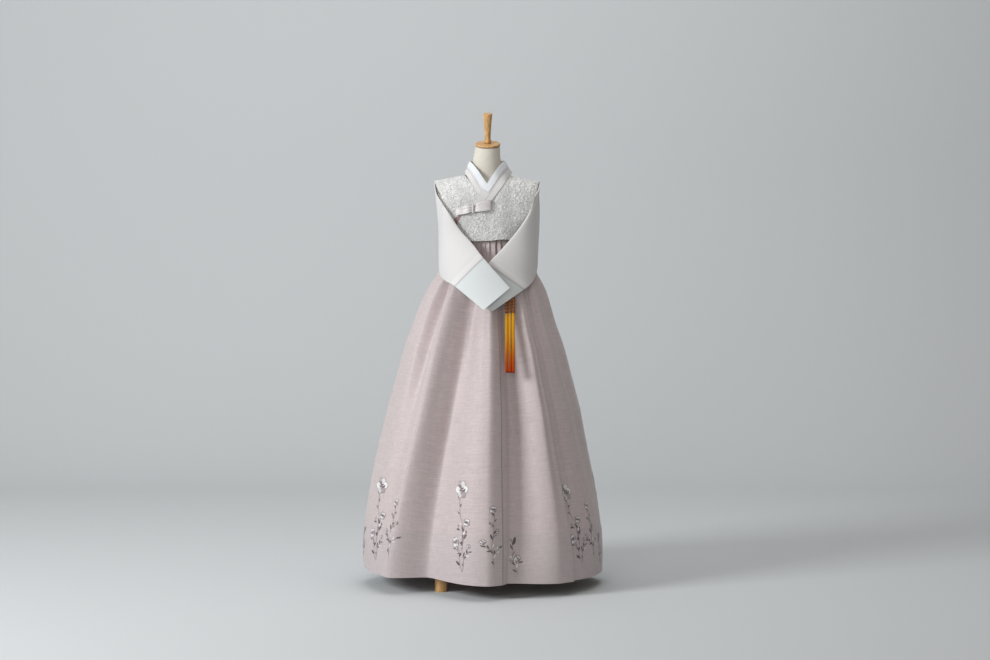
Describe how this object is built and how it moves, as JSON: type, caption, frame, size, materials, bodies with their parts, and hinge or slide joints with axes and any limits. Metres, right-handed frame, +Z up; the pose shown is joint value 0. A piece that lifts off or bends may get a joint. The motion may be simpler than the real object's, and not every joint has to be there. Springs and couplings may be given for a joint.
{
  "type": "korean hanbok on a dress form",
  "caption": "Long pleated wrap skirt and short lace jacket with flat crossed sleeves, collar, tied bow and tasselled pendant, worn by a limbless dress form on a wooden stand.",
  "frame": {"origin": "on the floor, under the middle of the part's bounding box", "axes": "+Z up, -Y towards the wearer's front, +X towards the wearer's left"},
  "size_m": [0.8737, 0.8818, 1.7087],
  "materials": {
    "mauve_silk": "dusty mauve silk with a slubbed weave and a light embroidered border",
    "chest_band_cotton": "plain cotton band",
    "ivory_lace": "ivory corded lace on a plain ground",
    "ivory_silk": "plain ivory silk, matt",
    "white_silk": "cool white silk, matt",
    "white_cotton": "starched white cotton strip",
    "dusty_pink_ribbon": "dusty pink silk ribbon, soft sheen",
    "norigae_cord_silk": "braided orange silk cord",
    "norigae_bead_thread": "orange and purple wound thread",
    "norigae_fringe_silk": "orange silk fringe",
    "form_linen": "undyed linen",
    "maple_wood": "satin varnish"
  },
  "bodies": {
    "root": {"chima_panel_back_left": "mauve_silk", "chima_panel_side_left": "mauve_silk", "chima_panel_front_left": "mauve_silk", "chima_panel_front": "mauve_silk", "chima_panel_side_right": "mauve_silk", "chima_panel_back_right": "mauve_silk", "chima_waistband": "chest_band_cotton", "jeogori_front_outer": "ivory_lace", "jeogori_front_under": "ivory_lace", "jeogori_back_left": "ivory_lace", "jeogori_back_right": "ivory_lace", "sleeve_left": "ivory_silk", "sleeve_right": "ivory_silk", "git": "ivory_silk", "cuff_left": "white_silk", "cuff_right": "white_silk", "dongjeong": "white_cotton", "goreum_knot": "dusty_pink_ribbon", "goreum_loop_right": "dusty_pink_ribbon", "goreum_loop_left": "dusty_pink_ribbon", "goreum_tail": "dusty_pink_ribbon", "norigae_cord": "norigae_cord_silk", "norigae_head_1": "norigae_bead_thread", "norigae_fringe_1": "norigae_fringe_silk", "norigae_head_2": "norigae_bead_thread", "norigae_fringe_2": "norigae_fringe_silk", "norigae_head_3": "norigae_bead_thread", "norigae_fringe_3": "norigae_fringe_silk", "form_torso": "form_linen", "form_neck_cap": "maple_wood", "form_finial": "maple_wood", "stand_pole": "maple_wood", "stand_hub": "maple_wood", "stand_arm_1": "maple_wood", "stand_foot_1": "maple_wood", "stand_arm_2": "maple_wood", "stand_foot_2": "maple_wood", "stand_arm_3": "maple_wood", "stand_foot_3": "maple_wood"}
  },
  "joints": []
}
